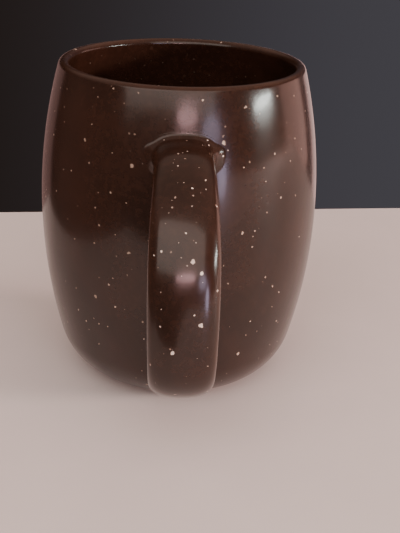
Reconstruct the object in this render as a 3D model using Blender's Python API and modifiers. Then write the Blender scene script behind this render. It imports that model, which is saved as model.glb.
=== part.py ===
"""A barrel-shaped stoneware mug with a strap handle, glazed inside and out.

Metres, +Z up, standing on z = 0 with the handle towards -Y. The cup is turned about a vertical
axis at y = CUP_Y, so that the whole mug, handle included, is centred over the origin.
Outlines of the cup are pairs (distance from the cup's axis, height). The handle's centreline
lies in the plane x = 0 and is made of pairs (distance in front of the cup's axis, height).
"""

import math

import bmesh
import bpy
import numpy as np
from mathutils import Vector
from mathutils.geometry import interpolate_bezier

# The cup, over its glaze
HEIGHT = 0.102
BELLY_RADIUS = 0.0436
BELLY_HEIGHT = 0.057
SIDE_RADIUS = 0.1650  # the one long arc from the foot to the lip
FOOT_TURN = 0.020  # the arc that turns the side in under the cup
WALL = 0.0034
FLOOR = 0.0065
INNER_TURN = 0.014  # the arc between the floor and the inner wall

# The foot ring, bare clay, and the hollow inside it
FOOT_OUTER = 0.0235
FOOT_INNER = 0.0187
FOOT_EDGE = 0.00035
RECESS = 0.0017
GLAZE_STOP = 0.0255  # the outer glaze ends at this radius, clear of the table

# The handle, over its glaze
HANDLE_REACH = 0.079
HANDLE_TOP = 0.0842  # height of the centreline where it leaves the cup
HANDLE_MIDDLE = 0.0400  # height where it is furthest out and upright
HANDLE_LOW = 0.0246
TOP_PULL, MIDDLE_RISE = 0.0120, 0.0360
LOW_PULL, MIDDLE_DROP = 0.0205, 0.0130
STRAP_THICK = 0.0090
STRAP_WIDTHS = (0.0164, 0.0190, 0.0167)  # at the top root, at its widest, at the low root
WIDEST_AT = 0.40  # of the way along the strap
STRAP_SQUARENESS = 2.4  # exponent of the strap's superellipse section
TOP_FLARE, LOW_FLARE = 0.0040, 0.0022  # radius of the fillet round each root
CREASE, CREASE_EDGE = 0.40, 0.60  # along the top root's upper side the fillet shrinks to this share

# The glaze, the slip in the joints, and the gap between neighbouring pieces
COAT = 0.0004
GAP = 0.0003
SKIN = COAT + GAP
WINDOW_REACH = 0.003

SEGMENTS = 48
SIDE_STEPS = 6
TURN_STEPS = 4
LIP_STEPS = 3
AROUND_STRAP = 20
STRAP_SECTIONS = 16
FLARE_STEPS = 4
PATH_STEPS = 60  # of each half of the handle's centreline
HEADING_STEP = 0.0003
CAP_SCALES = (0.0, 0.4, 0.75)  # of the rings that close an end, from its middle outwards
WALL_REACH = (0.001, 0.014)  # the strap's sections follow the cup's roundness up to here

STRAP_CENTRE = HANDLE_REACH - STRAP_THICK / 2
CUP_Y = (HANDLE_REACH - BELLY_RADIUS) / 2
SIDE_CENTRE = BELLY_RADIUS - SIDE_RADIUS
INNER_SIDE = SIDE_RADIUS - WALL
LIP = WALL / 2
QUARTER = math.pi / 2


def tangent_centre(side, small, height):
    """Where an arc of radius small, centred at this height, lies tangent inside the side's arc:
    the arc's centre, and the direction of the point where the two meet."""
    rise = height - BELLY_HEIGHT
    run = math.sqrt((side - small) ** 2 - rise**2)
    return (SIDE_CENTRE + run, height), math.atan2(rise, run)


LIP_CENTRE, LIP_ANGLE = tangent_centre(SIDE_RADIUS, LIP, HEIGHT - LIP)
TURN_CENTRE, TURN_ANGLE = tangent_centre(SIDE_RADIUS, FOOT_TURN, FOOT_TURN)
INNER_CENTRE, INNER_ANGLE = tangent_centre(INNER_SIDE, INNER_TURN, FLOOR + INNER_TURN)


def side_radius(height):
    return SIDE_CENTRE + math.sqrt(SIDE_RADIUS**2 - (height - BELLY_HEIGHT) ** 2)


def arc(centre, radius, start, end, steps):
    """Points along an arc, both ends included."""
    angles = (start + (end - start) * i / steps for i in range(steps + 1))
    return [(centre[0] + radius * math.cos(a), centre[1] + radius * math.sin(a)) for a in angles]


def side_arc(radius, start, end):
    return arc((SIDE_CENTRE, BELLY_HEIGHT), radius, start, end, SIDE_STEPS)


def outer_line(inset, stop):
    """The cup's outside below the lip, moved inwards by inset, down to the radius stop."""
    turn = FOOT_TURN - inset
    last = -math.acos((stop - TURN_CENTRE[0]) / turn)
    return (
        side_arc(SIDE_RADIUS - inset, LIP_ANGLE, TURN_ANGLE)[:-1]
        + arc(TURN_CENTRE, turn, TURN_ANGLE, last, TURN_STEPS)
    )


def inner_line(inset):
    """The cup's inside from the middle of the floor to the lip, moved into the clay by inset."""
    return (
        [(0.0, FLOOR - inset)]
        + arc(INNER_CENTRE, INNER_TURN + inset, -QUARTER, INNER_ANGLE, TURN_STEPS)
        + side_arc(INNER_SIDE + inset, INNER_ANGLE, LIP_ANGLE)[1:]
    )


def lip_line(inset, start, end, steps=LIP_STEPS):
    return arc(LIP_CENTRE, LIP - inset, start, end, steps)


def collection(name, hidden=False):
    made = bpy.data.collections.new(name)
    made.hide_render = hidden
    bpy.context.scene.collection.children.link(made)
    return made


def material(name, colour, roughness, coat=0.0):
    made = bpy.data.materials.new(name)
    made.use_nodes = True
    shader = made.node_tree.nodes["Principled BSDF"]
    shader.inputs["Base Color"].default_value = (*colour, 1.0)
    shader.inputs["Roughness"].default_value = roughness
    shader.inputs["Metallic"].default_value = 0.0
    shader.inputs["Coat Weight"].default_value = coat
    made.diffuse_color = (*colour, 1.0)
    return made


def place(name, mesh, owner, finish):
    """Puts a mesh that is centred on the cup's axis into the scene as one smooth piece."""
    made = bpy.data.objects.new(name, mesh)
    made.location = (0.0, CUP_Y, 0.0)
    if finish:
        mesh.materials.append(finish)
    mesh.shade_smooth()
    mesh.set_sharp_from_angle(angle=math.radians(40))
    owner.objects.link(made)
    return made


def turned(name, outline, owner, finish, closed=False):
    """A solid of revolution. The outline runs up the inside and down the outside."""
    mesh = bpy.data.meshes.new(name)
    count = len(outline)
    edges = [(i, i + 1) for i in range(count - 1)] + ([(count - 1, 0)] if closed else [])
    mesh.from_pydata([(r, 0.0, z) for r, z in outline], edges, [])
    made = place(name, mesh, owner, finish)
    screw = made.modifiers.new("turn", "SCREW")
    screw.axis = "Z"
    screw.angle = 2 * math.pi
    screw.steps = screw.render_steps = SEGMENTS
    screw.use_merge_vertices = True
    screw.merge_threshold = 0.00001
    screw.use_smooth_shade = True
    return made


def clay_body(owner, finish):
    lip = lip_line(SKIN, math.pi + LIP_ANGLE, LIP_ANGLE, 2 * LIP_STEPS)
    foot = [
        (FOOT_OUTER - FOOT_EDGE / 2, FOOT_EDGE),
        (FOOT_OUTER - 2 * FOOT_EDGE, 0.0),
        (FOOT_INNER + 2 * FOOT_EDGE, 0.0),
        (FOOT_INNER + FOOT_EDGE / 2, FOOT_EDGE),
        (FOOT_INNER, RECESS),
        (0.0, RECESS),
    ]
    outline = inner_line(SKIN)[:-1] + lip + outer_line(SKIN, FOOT_OUTER)[1:] + foot
    return turned("clay_body", outline, owner, finish)


def outer_glaze(owner, finish):
    top = QUARTER - GAP / 2 / LIP
    outside = lip_line(0.0, top, LIP_ANGLE) + outer_line(0.0, GLAZE_STOP)[1:]
    inside = lip_line(COAT, top, LIP_ANGLE) + outer_line(COAT, GLAZE_STOP)[1:]
    return turned("outer_glaze", outside + inside[::-1], owner, finish, closed=True)


def liner_glaze(owner, finish):
    top = QUARTER + GAP / 2 / LIP
    over = lip_line(0.0, math.pi + LIP_ANGLE, top)
    under = lip_line(COAT, top, math.pi + LIP_ANGLE)
    outline = inner_line(0.0)[:-1] + over + under[:-1] + inner_line(COAT)[::-1]
    return turned("liner_glaze", outline, owner, finish)


def foot_glaze(owner, finish):
    """The coat on the floor of the hollow inside the foot ring."""
    edge = FOOT_INNER - GAP
    top = RECESS - GAP
    outline = [(0.0, top), (edge, top), (edge, top - COAT), (0.0, top - COAT)]
    return turned("foot_glaze", outline, owner, finish)


def centreline():
    """Points along the strap's centre and their distances along it, from wall to wall."""
    top = Vector((side_radius(HANDLE_TOP), HANDLE_TOP))
    middle = Vector((STRAP_CENTRE, HANDLE_MIDDLE))
    low = Vector((side_radius(HANDLE_LOW), HANDLE_LOW))
    up, down = Vector((0.0, MIDDLE_RISE)), Vector((0.0, -MIDDLE_DROP))
    first = interpolate_bezier(top, top + Vector((TOP_PULL, 0.0)), middle + up, middle, PATH_STEPS)
    reach = low + Vector((LOW_PULL, 0.0))
    second = interpolate_bezier(middle, middle + down, reach, low, PATH_STEPS)
    points = np.array([tuple(p) for p in first + second[1:]])
    steps = np.linalg.norm(np.diff(points, axis=0), axis=1)
    return points, np.concatenate(([0.0], np.cumsum(steps)))


PATH, ALONG = centreline()
LENGTH = float(ALONG[-1])


def at(distance):
    """The centreline's point and direction at a distance along it. Past its ends it runs straight
    into the wall."""
    inside = min(max(distance, 0.0), LENGTH)
    ahead = min(inside + HEADING_STEP, LENGTH)
    behind = max(inside - HEADING_STEP, 0.0)
    here, there, back = (
        Vector([float(np.interp(d, ALONG, PATH[:, i])) for i in (0, 1)])
        for d in (inside, ahead, behind)
    )
    heading = (there - back).normalized()
    return here + heading * (distance - inside), heading


def smooth(value):
    value = min(max(value, 0.0), 1.0)
    return value * value * (3 - 2 * value)


def half_width(distance):
    top, widest, low = STRAP_WIDTHS
    part = distance / LENGTH
    if part < WIDEST_AT:
        return (top + (widest - top) * smooth(part / WIDEST_AT)) / 2
    return (widest + (low - widest) * smooth((part - WIDEST_AT) / (1 - WIDEST_AT))) / 2


def superellipse(half_a, half_b, turn):
    power = 2 / STRAP_SQUARENESS
    c, s = math.cos(turn), math.sin(turn)
    return (
        half_a * math.copysign(abs(c) ** power, c),
        half_b * math.copysign(abs(s) ** power, s),
    )


def ring(section, scale=1.0):
    """One section of the strap. In each direction round the strap, section(turn) is a distance
    along it and how far the outline moves outwards there. Near either end the section bends to
    lie parallel to the cup's round wall."""
    near, far = WALL_REACH
    points = []
    for i in range(AROUND_STRAP):
        turn = 2 * math.pi * (i + 0.5) / AROUND_STRAP
        distance, grow = section(turn)
        centre, heading = at(distance)
        outwards = Vector((-heading.y, heading.x))
        across, over = superellipse(
            scale * (half_width(distance) + grow), scale * (STRAP_THICK / 2 + grow), turn
        )
        front, height = centre + outwards * over
        wall = math.sqrt(side_radius(height) ** 2 - across**2)
        root = HANDLE_TOP if distance < LENGTH / 2 else HANDLE_LOW
        follow = 1 - smooth((min(distance, LENGTH - distance) - near) / (far - near))
        front += follow * (wall - side_radius(root))
        points.append((across, -front, height))
    return points


def flare_radius(upper, turn):
    """A root's fillet in one direction round the strap. Above the strap it is worked tight."""
    if not upper:
        return LOW_FLARE
    return TOP_FLARE * (1 - (1 - CREASE) * smooth(math.sin(turn) / CREASE_EDGE))


def spread(flare, inset, distance):
    """How far a root's fillet, moved inwards by inset, stands out from the strap at this distance
    from the wall."""
    return flare - math.sqrt((flare + inset) ** 2 - (flare - distance) ** 2)


def fillet_section(upper, inset, start, part):
    """The section part of the way down a root's fillet, which begins at the distance start from
    the wall."""

    def section(turn):
        flare = flare_radius(upper, turn)
        radius = flare + inset
        first = math.acos((flare - start) / radius)
        angle = first + (QUARTER - first) * part
        distance = flare - radius * math.cos(angle)
        return (distance if upper else LENGTH - distance), flare - radius * math.sin(angle)

    return section


def flat_section(upper, inset, distance, margin, place):
    """The outline the root's fillet has at a distance from the wall, plus margin, moved to the
    distance place."""

    def section(turn):
        grow = spread(flare_radius(upper, turn), inset, distance) + margin
        return (place if upper else LENGTH - place), grow

    return section


def strap_rings(inset, start):
    """Sections along the whole strap, moved inwards by inset. Its flared ends stop at the
    distance start from the cup's wall."""
    parts = [i / FLARE_STEPS for i in range(FLARE_STEPS + 1)]
    top = [ring(fillet_section(True, inset, start, part)) for part in parts]
    low = [ring(fillet_section(False, inset, start, part)) for part in reversed(parts)]
    middle = []
    for i in range(1, STRAP_SECTIONS):
        distance = TOP_FLARE + (LENGTH - TOP_FLARE - LOW_FLARE) * i / STRAP_SECTIONS
        middle.append(ring(lambda turn, distance=distance: (distance, -inset)))
    return top + middle + low


def capped(section):
    """The rings that close an end, from a point in its middle out to its edge."""
    return [ring(section, scale) for scale in CAP_SCALES]


def loft(name, rings, owner, finish, closed=False):
    """Joins rings of points in order. A closed loft runs back to its first ring, and an open one
    starts and ends at a point, which is a ring of no size."""
    build = bmesh.new()
    rows = []
    for points in rings:
        if len(set(points)) == 1:
            rows.append([build.verts.new(points[0])] * len(points))
        else:
            rows.append([build.verts.new(p) for p in points])
    pairs = list(zip(rows, rows[1:])) + ([(rows[-1], rows[0])] if closed else [])
    for row, after in pairs:
        for i in range(len(row)):
            j = (i + 1) % len(row)
            corners = [row[i], row[j], after[j], after[i]]
            build.faces.new(list(dict.fromkeys(corners)))
    bmesh.ops.recalc_face_normals(build, faces=build.faces)
    mesh = bpy.data.meshes.new(name)
    build.to_mesh(mesh)
    build.free()
    return place(name, mesh, owner, finish)


def clay_handle(owner, finish):
    top, low = (capped(flat_section(upper, SKIN, SKIN, 0.0, SKIN)) for upper in (True, False))
    return loft("clay_handle", top + strap_rings(SKIN, SKIN) + low[::-1], owner, finish)


def handle_glaze(owner, finish):
    """The coat over the strap and down its flares. It is open at both ends, onto the joints."""
    rings = strap_rings(0.0, GAP) + strap_rings(COAT, GAP)[::-1]
    return loft("handle_glaze", rings, owner, finish, closed=True)


def root_plug(name, upper, reach, margin, owner, finish=None):
    """A plug through the cup's skin at a root, from the distance reach inside the surface of the
    glaze to the same distance outside. It fills the handle's coat but for the gap, plus margin."""
    inner, outer = (flat_section(upper, COAT, COAT, margin - GAP, d) for d in (-reach, reach))
    rings = capped(inner) + [ring(inner), ring(outer)] + capped(outer)[::-1]
    return loft(name, rings, owner, finish)


def cut(piece, cutter):
    boolean = piece.modifiers.new(cutter.name, "BOOLEAN")
    boolean.operation = "DIFFERENCE"
    boolean.solver = "EXACT"
    boolean.object = cutter


def main():
    for old in list(bpy.data.objects):
        bpy.data.objects.remove(old)
    mug = collection("ceramic_mug")
    cutters = collection("cutters", hidden=True)
    glaze = material("brown_glaze", (0.042, 0.019, 0.012), 0.16, coat=0.5)
    clay = material("bare_stoneware", (0.42, 0.27, 0.17), 0.85)

    clay_body(mug, clay)
    liner_glaze(mug, glaze)
    foot_glaze(mug, glaze)
    coat = outer_glaze(mug, glaze)
    clay_handle(mug, clay)
    handle_glaze(mug, glaze)
    for side, upper in (("upper", True), ("lower", False)):
        root_plug(f"{side}_slip_joint", upper, COAT, 0.0, mug, clay)
        window = root_plug(f"{side}_window", upper, WINDOW_REACH, GAP, cutters)
        window.hide_render = True
        window.display_type = "WIRE"
        cut(coat, window)


main()
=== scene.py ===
"""The looks of a glazed stoneware mug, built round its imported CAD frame.

Metres, in the frame's own axes: +Z up, the handle towards -Y, standing on z = 0. Outlines of the
cup are pairs (distance from the cup's axis, height). The strap's centreline lies in the plane
x = 0 and is made of pairs (distance in front of the cup's axis, height).
"""

import math

import bpy
import numpy as np
from mathutils import Matrix, Vector
from mathutils.geometry import interpolate_bezier


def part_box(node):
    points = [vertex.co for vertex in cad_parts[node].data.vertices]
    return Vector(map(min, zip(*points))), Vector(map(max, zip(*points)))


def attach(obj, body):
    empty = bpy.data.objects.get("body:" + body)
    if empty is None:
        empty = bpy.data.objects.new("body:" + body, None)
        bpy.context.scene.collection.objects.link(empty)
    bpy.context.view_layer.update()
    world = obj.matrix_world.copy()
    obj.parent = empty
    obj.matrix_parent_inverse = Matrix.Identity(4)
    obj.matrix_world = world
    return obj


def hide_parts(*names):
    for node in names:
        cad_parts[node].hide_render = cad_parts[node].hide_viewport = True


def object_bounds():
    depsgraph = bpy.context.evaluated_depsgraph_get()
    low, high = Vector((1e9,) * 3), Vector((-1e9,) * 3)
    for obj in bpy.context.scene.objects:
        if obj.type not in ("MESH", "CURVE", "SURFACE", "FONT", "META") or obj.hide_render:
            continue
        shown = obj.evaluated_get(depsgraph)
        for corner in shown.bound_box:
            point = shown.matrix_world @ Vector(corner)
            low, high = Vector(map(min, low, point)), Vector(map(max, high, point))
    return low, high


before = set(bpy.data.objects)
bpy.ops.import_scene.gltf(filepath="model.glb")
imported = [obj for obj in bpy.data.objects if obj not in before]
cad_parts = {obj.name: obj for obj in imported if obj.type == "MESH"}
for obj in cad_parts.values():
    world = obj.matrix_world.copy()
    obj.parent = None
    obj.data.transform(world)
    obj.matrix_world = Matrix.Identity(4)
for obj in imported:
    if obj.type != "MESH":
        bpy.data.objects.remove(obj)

CAD_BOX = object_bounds()

# What the frame says
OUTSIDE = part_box("outer_glaze")
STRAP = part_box("handle_glaze")
BELLY_RADIUS = (OUTSIDE[1].x - OUTSIDE[0].x) / 2
CUP_Y = (OUTSIDE[0].y + OUTSIDE[1].y) / 2
HEIGHT = CAD_BOX[1].z
HANDLE_REACH = CUP_Y - STRAP[0].y
COAT = 0.0004
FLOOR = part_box("liner_glaze")[0].z + COAT

# The cup's outline, as in the CAD
BELLY_HEIGHT = 0.057
SIDE_RADIUS = 0.1650
FOOT_TURN = 0.020
WALL = 0.0034
INNER_TURN = 0.014
FOOT_OUTER = 0.0235
FOOT_INNER = 0.0187
FOOT_EDGE = 0.0005
RECESS = 0.0017
GLAZE_STOP = 0.0255
GLAZE_WAVER = 0.00035  # how far the dipped coat's edge wanders on the foot
BEDDING = 0.00002  # what is left between the coat and the clay under it

# The handle, as in the CAD
HANDLE_TOP = 0.0842
HANDLE_MIDDLE = 0.0400
HANDLE_LOW = 0.0246
TOP_PULL, MIDDLE_RISE = 0.0120, 0.0360
LOW_PULL, MIDDLE_DROP = 0.0205, 0.0130
STRAP_THICK = 0.0090
STRAP_WIDTHS = (0.0164, 0.0190, 0.0167)
WIDEST_AT = 0.40
STRAP_SQUARENESS = 2.4
TOP_FLARE, LOW_FLARE = 0.0040, 0.0022
CREASE, CREASE_EDGE = 0.40, 0.60
WALL_REACH = (0.001, 0.014)
SUNK = 0.000008  # how far the flare's edge dips under the cup's glaze
EDGE_RUN = 0.00025  # over this far
WINDOW_REACH = 0.003

SEGMENTS = 288
SIDE_STEPS = 40
TURN_STEPS = 24
LIP_STEPS = 12
AROUND_STRAP = 112
STRAP_SECTIONS = 110
FLARE_STEPS = 22
PATH_STEPS = 200
HEADING_STEP = 0.0003
QUARTER = math.pi / 2

SIDE_CENTRE = BELLY_RADIUS - SIDE_RADIUS
INNER_SIDE = SIDE_RADIUS - WALL
LIP = WALL / 2
STRAP_CENTRE = HANDLE_REACH - STRAP_THICK / 2


def tangent_centre(side, small, height):
    """The centre of an arc of this small radius, tangent inside the side's arc, and the angle at
    which they meet."""
    rise = height - BELLY_HEIGHT
    run = math.sqrt((side - small) ** 2 - rise**2)
    return (SIDE_CENTRE + run, height), math.atan2(rise, run)


LIP_CENTRE, LIP_ANGLE = tangent_centre(SIDE_RADIUS, LIP, HEIGHT - LIP)
TURN_CENTRE, TURN_ANGLE = tangent_centre(SIDE_RADIUS, FOOT_TURN, FOOT_TURN)
INNER_CENTRE, INNER_ANGLE = tangent_centre(INNER_SIDE, INNER_TURN, FLOOR + INNER_TURN)


def side_radius(height):
    return SIDE_CENTRE + np.sqrt(SIDE_RADIUS**2 - (height - BELLY_HEIGHT) ** 2)


def rgb(red, green, blue, tint=1.0):
    return (red * tint, green * tint, blue * tint, 1.0)


# ---------------------------------------------------------------- the cup's outlines


def arc(centre, radius, start, end, steps):
    angles = np.linspace(start, end, steps + 1)
    return [(centre[0] + radius * math.cos(a), centre[1] + radius * math.sin(a)) for a in angles]


def outer_line(inset, stop):
    """The cup's outside below the lip, moved inwards by inset, down to the radius stop."""
    turn = FOOT_TURN - inset
    last = -math.acos((stop - TURN_CENTRE[0]) / turn)
    side = arc((SIDE_CENTRE, BELLY_HEIGHT), SIDE_RADIUS - inset, LIP_ANGLE, TURN_ANGLE, SIDE_STEPS)
    return side[:-1] + arc(TURN_CENTRE, turn, TURN_ANGLE, last, TURN_STEPS)


def inner_line(inset):
    """The cup's inside from near the middle of the floor to the lip, moved into the clay."""
    floor = [(INNER_CENTRE[0] * i / 8, FLOOR - inset) for i in range(8)]
    turn = arc(INNER_CENTRE, INNER_TURN + inset, -QUARTER, INNER_ANGLE, TURN_STEPS)
    side = arc((SIDE_CENTRE, BELLY_HEIGHT), INNER_SIDE + inset, INNER_ANGLE, LIP_ANGLE, SIDE_STEPS)
    return floor + turn + side[1:]


def lip_line(inset):
    """Over the lip from the inside to the outside, ends left out."""
    return arc(LIP_CENTRE, LIP - inset, math.pi + LIP_ANGLE, LIP_ANGLE, 2 * LIP_STEPS)[1:-1]


def glaze_outline():
    """The whole coat of the cup: up the inside, over the lip, down the outside, round the bead
    at its edge and back under itself to the middle of the floor."""
    over = inner_line(0.0) + lip_line(0.0) + outer_line(0.0, GLAZE_STOP)
    under = inner_line(COAT) + lip_line(COAT) + outer_line(COAT, GLAZE_STOP)
    top, bottom = np.array(over[-1]), np.array(under[-1])
    middle, half = (top + bottom) / 2, (top - bottom) / 2
    onward = np.array([half[1], -half[0]])
    if onward[0] > 0:
        onward = -onward
    bead = [
        tuple(middle + half * math.cos(a) + onward * math.sin(a))
        for a in np.linspace(0, math.pi, 9)[1:-1]
    ]
    return over + bead + under[::-1]


def clay_outline():
    """The stoneware under the coat, with its bare foot ring."""
    inset = COAT + BEDDING
    outside = outer_line(inset, FOOT_OUTER + FOOT_EDGE)
    edge = FOOT_EDGE
    outer = arc((FOOT_OUTER - edge, edge), edge, 0.1 * QUARTER, -QUARTER, 6)
    inner = arc((FOOT_INNER + edge, edge), edge, -QUARTER, -2 * QUARTER, 6)
    cove = arc((FOOT_INNER - edge, RECESS - edge), edge, 0.0, QUARTER, 6)
    middle = [(FOOT_INNER * i / 6, RECESS) for i in range(5, -1, -1)]
    return inner_line(inset) + lip_line(inset) + outside + outer + inner + cove[:-1] + middle


def foot_outline():
    """The coat in the hollow inside the foot ring, pooled against the ring."""
    top = RECESS - BEDDING
    edge = FOOT_INNER - FOOT_EDGE - BEDDING
    pool = arc((edge - 2 * COAT, top - COAT), COAT, -QUARTER, 0.0, 6)
    rim = [(r + (edge - COAT - pool[-1][0]) * i / 6, z) for i, (r, z) in enumerate(pool)]
    face = [(edge * 0.9 * i / 12, top - COAT) for i in range(12)]
    back = [(edge * 0.9 * i / 6, top) for i in range(6, -1, -1)]
    return face + rim + [(edge - COAT, top)] + back


# ---------------------------------------------------------------- mesh helpers


def smoothstep(value):
    value = np.clip(value, 0.0, 1.0)
    return value * value * (3 - 2 * value)


def shell(name, rings, closed):
    """A mesh from rings of points, an array (rings, around, 3). Closed runs on to its first ring.
    A ring of no size becomes one point."""
    rings = np.asarray(rings, float)
    count, around = rings.shape[:2]
    points, index = [], np.zeros((count, around), int)
    for i, ring in enumerate(rings):
        if np.ptp(ring, axis=0).max() < 1e-9:
            index[i] = len(points)
            points.append(ring[0])
        else:
            index[i] = range(len(points), len(points) + around)
            points.extend(ring)
    faces = []
    for i in range(count if closed else count - 1):
        low, high = index[i], index[(i + 1) % count]
        for j in range(around):
            k = (j + 1) % around
            corners = dict.fromkeys((low[j], low[k], high[k], high[j]))
            if len(corners) > 2:
                faces.append([int(c) for c in corners])
    mesh = bpy.data.meshes.new(name)
    mesh.from_pydata([tuple(p) for p in points], [], faces)
    mesh.validate()
    made = bpy.data.objects.new(name, mesh)
    bpy.context.scene.collection.objects.link(made)
    mesh.shade_smooth()
    return made


def turned_rings(outline, waver=None):
    """The outline turned about the cup's axis. waver(angle) shifts each point by its share."""
    angles = np.arange(SEGMENTS) * 2 * math.pi / SEGMENTS
    radii = np.array([p[0] for p in outline])[:, None] * np.ones(SEGMENTS)
    heights = np.array([p[1] for p in outline])[:, None] * np.ones(SEGMENTS)
    if waver is not None:
        move_r, move_z = waver(radii, heights, angles)
        radii, heights = radii + move_r, heights + move_z
    return np.stack([radii * np.cos(angles), CUP_Y + radii * np.sin(angles), heights], axis=-1)


def set_attribute(piece, name, values):
    layer = piece.data.attributes.new(name, "FLOAT", "POINT")
    layer.data.foreach_set("value", np.asarray(values, np.float32))


def vertex_values(piece, name="co"):
    """A vector of every vertex: its place, or its normal."""
    flat = np.zeros(len(piece.data.vertices) * 3)
    piece.data.vertices.foreach_get(name, flat)
    return flat.reshape(-1, 3)


def face_outwards(piece):
    """Turns the faces over if the closed mesh is inside out."""
    mesh = piece.data
    mesh.calc_loop_triangles()
    flat = np.zeros(len(mesh.loop_triangles) * 3, np.int32)
    mesh.loop_triangles.foreach_get("vertices", flat)
    a, b, c = vertex_values(piece)[flat.reshape(-1, 3)].transpose(1, 0, 2)
    if np.sum(a * np.cross(b, c)) < 0:
        mesh.flip_normals()


# ---------------------------------------------------------------- the strap


def centreline():
    top = Vector((float(side_radius(HANDLE_TOP)), HANDLE_TOP))
    middle = Vector((STRAP_CENTRE, HANDLE_MIDDLE))
    low = Vector((float(side_radius(HANDLE_LOW)), HANDLE_LOW))
    up, down = Vector((0.0, MIDDLE_RISE)), Vector((0.0, -MIDDLE_DROP))
    reach = low + Vector((LOW_PULL, 0.0))
    first = interpolate_bezier(top, top + Vector((TOP_PULL, 0.0)), middle + up, middle, PATH_STEPS)
    second = interpolate_bezier(middle, middle + down, reach, low, PATH_STEPS)
    points = np.array([tuple(p) for p in first + second[1:]])
    steps = np.linalg.norm(np.diff(points, axis=0), axis=1)
    return points, np.concatenate(([0.0], np.cumsum(steps)))


PATH, ALONG = centreline()
LENGTH = float(ALONG[-1])


def on_path(distance):
    return np.stack([np.interp(distance, ALONG, PATH[:, i]) for i in (0, 1)], axis=-1)


def at(distance):
    """The centreline's points and directions at distances along it, straight past its ends."""
    inside = np.clip(distance, 0.0, LENGTH)
    ahead, behind = inside + HEADING_STEP, inside - HEADING_STEP
    heading = on_path(np.minimum(ahead, LENGTH)) - on_path(np.maximum(behind, 0.0))
    heading /= np.linalg.norm(heading, axis=-1, keepdims=True)
    return on_path(inside) + heading * (distance - inside)[..., None], heading


def half_width(distance):
    top, widest, low = STRAP_WIDTHS
    part = distance / LENGTH
    before = top + (widest - top) * smoothstep(part / WIDEST_AT)
    after = widest + (low - widest) * smoothstep((part - WIDEST_AT) / (1 - WIDEST_AT))
    return np.where(part < WIDEST_AT, before, after) / 2


TURNS = 2 * math.pi * (np.arange(AROUND_STRAP) + 0.5) / AROUND_STRAP


def ring(section, scale=1.0):
    """One section of the strap: distances along it and how far its outline moves outwards, for
    each direction round it. Near its ends it is bent to follow the cup."""
    distance, grow = (np.broadcast_to(np.asarray(v, float), TURNS.shape) for v in section)
    centre, heading = at(distance)
    outwards = np.stack([-heading[:, 1], heading[:, 0]], axis=-1)
    root = np.where(distance < LENGTH / 2, HANDLE_TOP, HANDLE_LOW)
    near, far = WALL_REACH
    follow = 1 - smoothstep((np.minimum(distance, LENGTH - distance) - near) / (far - near))
    power = 2 / STRAP_SQUARENESS
    c, s = np.cos(TURNS), np.sin(TURNS)
    across = scale * (half_width(distance) + grow) * np.sign(c) * np.abs(c) ** power
    over = scale * (STRAP_THICK / 2 + grow) * np.sign(s) * np.abs(s) ** power
    front, height = (centre + outwards * over[:, None]).T
    wall = np.sqrt(side_radius(height) ** 2 - across**2)
    front = front + follow * (wall - side_radius(root))
    return np.stack([across, CUP_Y - front, height], axis=-1)


def flare_radius(upper):
    """A root's fillet in each direction round the strap. Above the strap it is worked tight."""
    if not upper:
        return np.full(TURNS.shape, LOW_FLARE)
    return TOP_FLARE * (1 - (1 - CREASE) * smoothstep(np.sin(TURNS) / CREASE_EDGE))


def spread(flare, inset, distance):
    return flare - np.sqrt((flare + inset) ** 2 - (flare - distance) ** 2)


def fillet_section(upper, inset, start, part):
    """The section part of the way down a root's fillet, which begins start from the wall."""
    flare = flare_radius(upper)
    radius = flare + inset
    first = np.arccos((flare - start) / radius)
    angle = first + (QUARTER - first) * part
    distance = flare - radius * np.cos(angle)
    return (distance if upper else LENGTH - distance), flare - radius * np.sin(angle)


def strap_rings(inset, start, sunk=None):
    parts = np.linspace(0.0, 1.0, FLARE_STEPS + 1)
    top, low = ([fillet_section(upper, inset, start, p) for p in parts] for upper in (True, False))
    if sunk is not None:
        top = [(-sunk, top[0][1] + EDGE_RUN)] + top
        low = [(LENGTH + sunk, low[0][1] + EDGE_RUN)] + low
    plain = LENGTH - TOP_FLARE - LOW_FLARE
    middle = [
        (TOP_FLARE + plain * i / STRAP_SECTIONS, -inset) for i in range(1, STRAP_SECTIONS)
    ]
    return [ring(section) for section in top + middle + low[::-1]]


def wall_normals(points):
    """The cup's outward normals nearest to these points."""
    x, y, z = points[:, 0], points[:, 1] - CUP_Y, points[:, 2]
    radius = np.hypot(x, y)
    slope = np.stack([side_radius(z) - SIDE_CENTRE, z - BELLY_HEIGHT], axis=-1) / SIDE_RADIUS
    return np.stack([slope[:, 0] * x / radius, slope[:, 0] * y / radius, slope[:, 1]], axis=-1)


def off_wall(points):
    """How far points stand out from the cup's glazed side."""
    radius = np.hypot(points[:, 0], points[:, 1] - CUP_Y)
    return np.hypot(radius - SIDE_CENTRE, points[:, 2] - BELLY_HEIGHT) - SIDE_RADIUS


# ---------------------------------------------------------------- materials

GLAZE_DARK = rgb(0.0180, 0.0080, 0.0050)
GLAZE_LIGHT = rgb(0.0285, 0.0118, 0.0074)
GLAZE_SPECK = rgb(0.0440, 0.0190, 0.0115)
GLAZE_THIN = rgb(0.115, 0.046, 0.022)
GLAZE_ROUGH = (0.175, 0.225)
CROWD_SIZE = 0.030  # flecks are thick or thin on the ground over about this far
CROWDING = (0.35, 1.6)
FLECK_SMALLEST = 0.35  # of the largest radius
FLECK_SOFT = 0.16  # how wide a fleck's soft edge is, of its largest radius
FLECK_ROUGHER = 0.12
CLAY_BUFF = (0.42, 0.27, 0.17)
CLAY_TOAST = (0.30, 0.165, 0.095)
CLAY_GRAIN = (0.52, 0.38, 0.26)
CLAY_IRON = rgb(0.07, 0.035, 0.02)
CLAY_ROUGH = (0.72, 0.95)


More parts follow.
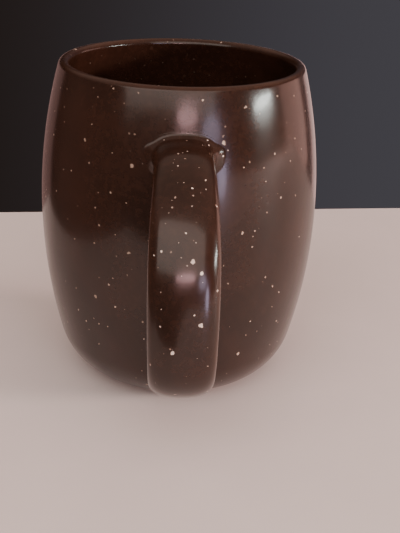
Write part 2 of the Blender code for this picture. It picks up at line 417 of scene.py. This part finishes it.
class Tree:
    """Short names for building the nodes of a material or a world."""

    def __init__(self, owner):
        owner.use_nodes = True
        self.owner = owner
        self.nodes = owner.node_tree.nodes
        self.links = owner.node_tree.links
        self.shader = self.nodes.get("Principled BSDF") or self.nodes["Background"]
        coordinates = self.new("TexCoord").outputs
        self.place, self.direction = coordinates["Object"], coordinates["Generated"]

    def new(self, kind):
        return self.nodes.new(f"ShaderNode{kind}")

    def feed(self, socket, value):
        if isinstance(value, bpy.types.NodeSocket):
            self.links.new(value, socket)
        elif value is not None:
            socket.default_value = value

    def math(self, operation, a, b=None, clamp=False):
        node = self.new("Math")
        node.operation = operation
        node.use_clamp = clamp
        self.feed(node.inputs[0], a)
        self.feed(node.inputs[1], b)
        return node.outputs[0]

    def noise(self, size, detail=2.0, roughness=0.5, place=None, colour=False):
        """Noise whose lumps are about size metres across, from 0 to 1."""
        node = self.new("TexNoise")
        self.feed(node.inputs["Vector"], place or self.place)
        self.feed(node.inputs["Scale"], 1 / size)
        self.feed(node.inputs["Detail"], detail)
        self.feed(node.inputs["Roughness"], roughness)
        return node.outputs["Color" if colour else "Fac"]

    def ramp(self, value, low, high, to_low=0.0, to_high=1.0):
        node = self.new("MapRange")
        node.interpolation_type = "SMOOTHSTEP"
        for socket, given in zip(node.inputs, (value, low, high, to_low, to_high)):
            self.feed(socket, given)
        return node.outputs[0]

    def mix(self, share, a, b, blend="MIX"):
        node = self.new("Mix")
        node.data_type = "RGBA"
        node.blend_type = blend
        self.feed(node.inputs[0], share)
        self.feed(node.inputs[6], a)
        self.feed(node.inputs[7], b)
        return node.outputs[2]

    def vector(self, operation, a, b):
        node = self.new("VectorMath")
        node.operation = operation
        self.feed(node.inputs[0], a)
        self.feed(node.inputs["Scale" if operation == "SCALE" else 1], b)
        return node.outputs[0]

    def attribute(self, name):
        node = self.new("Attribute")
        node.attribute_name = name
        return node.outputs["Fac"]

    def bump(self, height, distance, strength=1.0, normal=None):
        node = self.new("Bump")
        self.feed(node.inputs["Height"], height)
        self.feed(node.inputs["Distance"], distance)
        self.feed(node.inputs["Strength"], strength)
        self.feed(node.inputs["Normal"], normal)
        return node.outputs[0]

    def set(self, **values):
        """Sets the shader's sockets, named with _ for spaces."""
        for name, value in values.items():
            self.feed(self.shader.inputs[name.replace("_", " ")], value)


def new_material(name):
    return Tree(bpy.data.materials.new(name))


def flecks(tree, cell, radius, share, seed):
    """Irregular chips of cream frit in the glaze: how much of one there is at each place, and
    how pale it is. cell is the mean distance between grains and share is how many cells hold
    one; where the grains are thick on the ground changes slowly over the pot."""
    shift = tree.vector("ADD", tree.place, (seed, 2 * seed, 3 * seed))
    ragged = tree.noise(radius * 1.3, 1.0, place=shift, colour=True)
    push = tree.vector("SCALE", tree.vector("SUBTRACT", ragged, (0.5, 0.5, 0.5)), radius * 1.5)
    node = tree.new("TexVoronoi")
    tree.feed(node.inputs["Vector"], tree.vector("ADD", shift, push))
    tree.feed(node.inputs["Scale"], 1 / cell)
    pick = tree.new("SeparateColor")
    tree.feed(pick.inputs[0], node.outputs["Color"])
    crowd = tree.noise(CROWD_SIZE, 1.0, place=shift)
    few, many = (part * share for part in CROWDING)
    chosen = tree.math("LESS_THAN", pick.outputs[0], tree.ramp(crowd, 0.35, 0.65, few, many))
    smallest, soft = (part * radius / cell for part in (FLECK_SMALLEST, FLECK_SOFT))
    size = tree.ramp(pick.outputs[1], 0.0, 1.0, smallest, radius / cell)
    edge = tree.math("SUBTRACT", size, node.outputs["Distance"])
    body = tree.math("DIVIDE", edge, soft, clamp=True)
    there = tree.math("MULTIPLY", body, chosen)
    return tree.math("MULTIPLY", there, tree.attribute("flecked")), pick.outputs[2]


def glaze(name, big, small, seed, fleck_light, fleck_dim):
    """Dark chocolate glaze: a clear gloss over mottled brown, redder where it runs thin, with
    cream flecks. big and small are each (cell, largest radius, share of cells that hold one)."""
    tree = new_material(name)
    cloud = tree.ramp(tree.noise(size=0.022, detail=3.0, roughness=0.55), 0.35, 0.68)
    speck = tree.ramp(tree.noise(size=0.0016, detail=2.0, roughness=0.6), 0.40, 0.75)
    deep = tree.mix(cloud, GLAZE_DARK, GLAZE_LIGHT)
    deep = tree.mix(tree.math("MULTIPLY", speck, 0.35), deep, GLAZE_SPECK)
    patchy = tree.ramp(tree.noise(size=0.004, detail=3.0), 0.3, 0.6, 0.55, 1.0)
    colour = tree.mix(tree.math("MULTIPLY", tree.attribute("thin"), patchy), deep, GLAZE_THIN)
    rough = tree.ramp(tree.noise(size=0.014, detail=3.0, roughness=0.6), 0.3, 0.7, *GLAZE_ROUGH)
    for (cell, radius, share), offset in ((big, 0.0), (small, 0.37)):
        there, tone = flecks(tree, cell, radius, share, seed + offset)
        pale = tree.mix(tone, fleck_dim, fleck_light)
        colour = tree.mix(there, colour, pale)
        rough = tree.math("ADD", rough, tree.math("MULTIPLY", there, FLECK_ROUGHER))
    wave = tree.bump(tree.noise(size=0.012, detail=1.0), distance=0.00030, strength=0.35)
    fine = tree.noise(size=0.0022, detail=2.0)
    peel = tree.bump(fine, distance=0.00003, strength=0.40, normal=wave)
    tree.set(Base_Color=colour, Roughness=rough, Normal=peel)
    tree.set(IOR=1.44, Coat_Weight=0.15, Coat_Roughness=0.08, Coat_IOR=1.5)
    return tree.owner


def stoneware(name, seed, tint=1.0):
    """Bare fired clay: warm buff with iron specks, toasted in patches, fine sandy tooth."""
    tree = new_material(name)
    place = tree.vector("ADD", tree.place, (seed, seed, seed))
    toast = tree.ramp(tree.noise(0.010, 4.0, 0.6, place), 0.35, 0.7)
    grain = tree.noise(0.0006, 3.0, 0.7, place)
    colour = tree.mix(toast, rgb(*CLAY_BUFF, tint), rgb(*CLAY_TOAST, tint))
    colour = tree.mix(tree.ramp(grain, 0.35, 0.7, 0.0, 0.45), colour, rgb(*CLAY_GRAIN, tint))
    iron = tree.ramp(tree.noise(0.0009, 1.0, 0.5, place), 0.70, 0.76)
    colour = tree.mix(iron, colour, CLAY_IRON)
    tooth = tree.bump(grain, distance=0.00012, strength=0.8)
    rough = tree.ramp(grain, 0.2, 0.8, *CLAY_ROUGH)
    tree.set(Base_Color=colour, Roughness=rough, Normal=tooth)
    return tree.owner


# ---------------------------------------------------------------- pieces

WAVES = ((0.5, 2, 0.4), (0.3, 5, 1.9), (0.2, 11, 4.1), (0.12, 23, 0.7))  # how far, count, phase
WAVES_TOP, WAVES_FADE = 0.0032, 0.0022
WAVES_SLOPE = (0.94, 0.33)
LIP_BAND = 0.0012  # the glaze runs thin over the lip in this band
EDGE_TOP, EDGE_FADE = 0.0026, 0.0016  # and above its lower edge
THIN_LIP, THIN_EDGE, THIN_STRAP = 0.15, 0.7, 0.20
CLEAR_OF_CUP = 0.006
INSIDE_FLECKS = 0.12
BLEND_BAND = 0.00012  # this close to the cup, the flare is shaded like the cup's own wall


def edge_waver(radii, heights, angles):
    """The dipped edge of the coat wanders along the foot's turn. The wander dies out upwards."""
    wander = sum(far * np.sin(count * angles + phase) for far, count, phase in WAVES)
    near = smoothstep((WAVES_TOP - heights) / WAVES_FADE) * (radii > GLAZE_STOP - 0.001)
    shift = GLAZE_WAVER * wander * near
    return tuple(shift * slope for slope in WAVES_SLOPE)


def finish_piece(piece, material, slot, *nodes):
    piece.data.materials.append(material)
    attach(piece, "root")
    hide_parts(*nodes)


def cut_windows(piece):
    """Opens the coat at each root, where the slip joint holds the handle to the clay."""
    for name, upper in (("upper", True), ("lower", False)):
        grow = spread(flare_radius(upper), COAT, COAT)
        ends = (-WINDOW_REACH, WINDOW_REACH)
        inner, outer = ((d if upper else LENGTH - d, grow) for d in ends)
        scales = (0.0, 0.5, 1.0)
        rings = [ring(inner, s) for s in scales] + [ring(outer, s) for s in scales[::-1]]
        cutter = shell(f"{name}_window", rings, closed=False)
        boolean = piece.modifiers.new(name, "BOOLEAN")
        boolean.operation = "DIFFERENCE"
        boolean.solver = "EXACT"
        boolean.object = cutter
        bpy.context.view_layer.update()
        mesh = bpy.data.meshes.new_from_object(
            piece.evaluated_get(bpy.context.evaluated_depsgraph_get())
        )
        piece.modifiers.clear()
        piece.data = mesh
        bpy.data.objects.remove(cutter)


def glaze_coat(material):
    piece = shell("glaze_coat", turned_rings(glaze_outline(), edge_waver), closed=False)
    face_outwards(piece)
    cut_windows(piece)
    points = vertex_values(piece)
    height = points[:, 2]
    lip = smoothstep((height - (HEIGHT - LIP_BAND)) / LIP_BAND)
    edge = smoothstep((EDGE_TOP - height) / EDGE_FADE) * (height < FLOOR - COAT)
    set_attribute(piece, "thin", THIN_LIP * lip + THIN_EDGE * edge)
    radius = np.hypot(points[:, 0], points[:, 1] - CUP_Y)
    outside = smoothstep((radius - side_radius(height) + WALL) / (WALL / 2))
    set_attribute(piece, "flecked", np.maximum(INSIDE_FLECKS, outside))
    finish_piece(piece, material, "brown_glaze", "outer_glaze", "liner_glaze")


def handle_coat(material):
    outside = strap_rings(0.0, 0.0, SUNK)
    inside = strap_rings(COAT, BEDDING)
    rings = np.array(outside + inside[::-1])
    piece = shell("handle_coat", rings, closed=True)
    face_outwards(piece)
    points = vertex_values(piece)
    sides = np.tile(np.abs(np.cos(TURNS)), len(rings))
    clear = smoothstep(off_wall(points) / CLEAR_OF_CUP)
    set_attribute(piece, "thin", THIN_STRAP * clear * smoothstep((sides - 0.80) / 0.2))
    set_attribute(piece, "flecked", np.ones(len(points)))
    outer = np.arange(len(points)) < len(outside) * AROUND_STRAP
    share = (outer * (1 - smoothstep(off_wall(points) / BLEND_BAND)))[:, None]
    normals = vertex_values(piece, "normal") * (1 - share) + wall_normals(points) * share
    normals /= np.linalg.norm(normals, axis=1)[:, None]
    piece.data.normals_split_custom_set_from_vertices([tuple(n) for n in normals])
    finish_piece(piece, material, "brown_glaze", "handle_glaze")


def stoneware_cup(material):
    piece = shell("stoneware_cup", turned_rings(clay_outline()), closed=False)
    face_outwards(piece)
    finish_piece(piece, material, "bare_stoneware", "clay_body")


def foot_coat(material):
    piece = shell("foot_coat", turned_rings(foot_outline()), closed=False)
    face_outwards(piece)
    for name, value in (("thin", 0.0), ("flecked", 1.0)):
        set_attribute(piece, name, np.full(len(piece.data.vertices), value))
    finish_piece(piece, material, "brown_glaze", "foot_glaze")


def give(node, material):
    """A CAD node that stays gets a better material."""
    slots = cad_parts[node].material_slots
    for slot in slots:
        slot.material = material
    if not slots:
        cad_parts[node].data.materials.append(material)


# ---------------------------------------------------------------- the studio

TABLE_BACK = 0.165  # the table ends this far behind the origin
TABLE_SKEW = math.radians(5.0)
TABLE_HALF = 1.6
TABLE_DEPTH = 2.4
TABLE_THICK = 0.03
TABLE_COLOUR = rgb(0.78, 0.72, 0.71)
TABLE_MOTTLE = 0.02
# The table shows in the glaze only to the right of NEAR_LEFT, and there its part in front of
# NEAR_FRONT shows only to the right of NEAR_RIGHT
NEAR_LEFT, NEAR_RIGHT = -0.18, -0.040
NEAR_FRONT = -0.158

# The room's colours, and the parts of the view in which one gives way to the next
BEHIND_LEFT = rgb(0.0180, 0.0125, 0.0110)
BEHIND_RIGHT = rgb(0.060, 0.057, 0.067)
ROOM_SIDES = rgb(0.14, 0.095, 0.080)
ROOM_TOP = rgb(0.56, 0.38, 0.315)
LEFT_TO_RIGHT = (-0.22, 0.27)
SIDES_TO_BEHIND = (0.2, 0.75)
SIDES_TO_TOP = (0.30, 0.75)

AIM = Vector((0.0, 0.0, 0.075))  # the lamps face this point

# The camera stands this far from the cup's axis and this high, and looks down at the mug
CAMERA_DISTANCE = 0.306
CAMERA_HEIGHT = 0.1636
CAMERA_ROUND = math.radians(1.5)
CAMERA_PITCH = math.radians(22.985)
CAMERA_YAW = math.radians(1.42)
CAMERA_ROLL = math.radians(2.1)
FIELD = math.radians(29.77)  # over the picture's height


def table_top():
    tree = new_material("table_top")
    mottle = tree.noise(size=0.06, detail=4.0, roughness=0.6)
    shade = tree.ramp(mottle, 0.3, 0.7, 1 - TABLE_MOTTLE, 1 + TABLE_MOTTLE)
    colour = tree.mix(1.0, TABLE_COLOUR, shade, "MULTIPLY")
    tree.set(Base_Color=colour, Roughness=0.55, Specular_IOR_Level=0.25)
    return tree.owner


def slab(name, low, high, surface, mirrored):
    """Part of the table top between two corners, seen in reflections only if mirrored."""
    turn = Matrix.Rotation(TABLE_SKEW, 2)
    pivot = Vector((0.0, TABLE_BACK))
    corners = [(low[0], high[1]), (high[0], high[1]), (high[0], low[1]), (low[0], low[1])]
    flat = [turn @ (Vector(c) - pivot) + pivot for c in corners]
    points = [(c.x, c.y, z) for z in (0.0, -TABLE_THICK) for c in flat]
    sides = [(i, (i + 1) % 4, 4 + (i + 1) % 4, 4 + i) for i in range(4)]
    mesh = bpy.data.meshes.new(name)
    mesh.from_pydata(points, [], [(0, 3, 2, 1), (4, 5, 6, 7)] + sides)
    made = bpy.data.objects.new(name, mesh)
    bpy.context.scene.collection.objects.link(made)
    mesh.materials.append(surface)
    made.visible_glossy = mirrored


def table():
    surface = table_top()
    front = TABLE_BACK - TABLE_DEPTH
    slab("table", (NEAR_LEFT, NEAR_FRONT), (TABLE_HALF, TABLE_BACK), surface, True)
    slab("table_left", (-TABLE_HALF, front), (NEAR_LEFT, TABLE_BACK), surface, False)
    slab("table_front", (NEAR_LEFT, front), (NEAR_RIGHT, NEAR_FRONT), surface, False)
    slab("table_right", (NEAR_RIGHT, front), (TABLE_HALF, NEAR_FRONT), surface, True)


def room():
    """A dim room: darker behind and below, a little cooler to the right."""
    world = bpy.data.worlds.new("room")
    bpy.context.scene.world = world
    tree = Tree(world)
    split = tree.new("SeparateXYZ")
    tree.feed(split.inputs[0], tree.direction)
    across, back, up = split.outputs
    behind = tree.mix(tree.ramp(across, *LEFT_TO_RIGHT), BEHIND_LEFT, BEHIND_RIGHT)
    around = tree.mix(tree.ramp(back, *SIDES_TO_BEHIND), ROOM_SIDES, behind)
    tree.set(Color=tree.mix(tree.ramp(up, *SIDES_TO_TOP), around, ROOM_TOP), Strength=1.0)


def lamp(name, azimuth, elevation, distance, size, colour, radiance, round_shape=True, fill=False):
    """A soft light seen from the mug in this direction, azimuth 0 towards -Y and 90 towards +X,
    facing the mug. size is its width and height, radiance its brightness. A fill light leaves no
    highlight."""
    data = bpy.data.lights.new(name, "AREA")
    data.shape = "ELLIPSE" if round_shape else "RECTANGLE"
    data.size, data.size_y = size
    data.color = colour
    area = size[0] * size[1] * (math.pi / 4 if round_shape else 1.0)
    data.energy = radiance * area * math.pi
    made = bpy.data.objects.new(name, data)
    bpy.context.scene.collection.objects.link(made)
    a, e = math.radians(azimuth), math.radians(elevation)
    away = Vector((math.sin(a) * math.cos(e), -math.cos(a) * math.cos(e), math.sin(e)))
    made.location = AIM + away * distance
    made.rotation_mode = "QUATERNION"
    made.rotation_quaternion = away.to_track_quat("Z", "Y")
    made.visible_camera = False
    made.visible_glossy = not fill
    return made


def lights():
    lamp("window", -12, 34, 1.0, (1.62, 0.72), (1.0, 0.86, 0.77), 1.95, round_shape=False)
    lamp("ceiling", 0, 58, 1.5, (1.8, 1.0), (1.0, 0.92, 0.885), 1.3, round_shape=False, fill=True)
    lamp("side_fill", 80, 9, 1.2, (0.34, 0.14), (1.0, 0.66, 0.58), 118.0, fill=True)
    lamp("white_lamp", 74, 9.5, 1.0, (0.36, 0.050), (0.95, 1.0, 0.95), 66.0)
    lamp("rose_lamp", 3.4, 12.5, 1.0, (0.31, 0.090), (1.0, 0.58, 0.60), 15.0)
    lamp("lilac_lamp", 24, 8.5, 0.9, (0.24, 0.12), (0.78, 0.70, 0.95), 7.0)
    low = lamp("lilac_low", 32, -3, 0.42, (0.055, 0.09), (0.79, 0.71, 1.0), 11.0)
    low.visible_diffuse = False  # it stands close over the table
    lamp("warm_wall", 112, 2, 1.2, (0.70, 0.60), (1.0, 0.58, 0.50), 1.7, round_shape=False)
    lamp("warm_back", 160, -13, 1.2, (0.80, 0.60), (1.0, 0.62, 0.56), 1.20, round_shape=False)
    lamp("warm_far", -155, -10, 1.2, (1.00, 0.60), (1.0, 0.55, 0.50), 0.35, round_shape=False)


def camera():
    data = bpy.data.cameras.new("camera")
    data.sensor_fit = "AUTO"
    data.sensor_width = 36.0
    data.lens = data.sensor_width / 2 / math.tan(FIELD / 2)
    data.clip_start = 0.01
    made = bpy.data.objects.new("camera", data)
    bpy.context.scene.collection.objects.link(made)
    heading = CAMERA_YAW + CAMERA_ROUND
    flat = math.cos(CAMERA_PITCH)
    forward = Vector((math.sin(heading) * flat, math.cos(heading) * flat, -math.sin(CAMERA_PITCH)))
    right = Vector((math.cos(heading), -math.sin(heading), 0.0))
    up = right.cross(forward)
    c, s = math.cos(CAMERA_ROLL), math.sin(CAMERA_ROLL)
    x, y, z = right * c + up * s, up * c - right * s, -forward
    rotation = Matrix((x, y, z)).transposed()
    place = Vector((
        -CAMERA_DISTANCE * math.sin(CAMERA_ROUND),
        CUP_Y - CAMERA_DISTANCE * math.cos(CAMERA_ROUND),
        CAMERA_HEIGHT,
    ))
    made.matrix_world = Matrix.Translation(place) @ rotation.to_4x4()
    bpy.context.scene.camera = made


# ---------------------------------------------------------------- the scene

camera()
room()
lights()
table()

cup_glaze = glaze(
    "cup_glaze", (0.0052, 0.00066, 0.50), (0.0026, 0.00034, 0.75), 0.0,
    rgb(0.62, 0.50, 0.40), rgb(0.10, 0.060, 0.042),
)
strap_glaze = glaze(
    "strap_glaze", (0.0040, 0.00062, 0.80), (0.0022, 0.00034, 0.95), 1.7,
    rgb(0.95, 0.85, 0.75), rgb(0.24, 0.16, 0.12),
)
foot_clay = stoneware("foot_clay", 0.0)

glaze_coat(cup_glaze)
handle_coat(strap_glaze)
foot_coat(cup_glaze)
stoneware_cup(foot_clay)
give("clay_handle", stoneware("handle_clay", 0.7))
for joint in ("upper_slip_joint", "lower_slip_joint"):
    give(joint, stoneware(f"{joint}_clay", 1.9, 0.9))
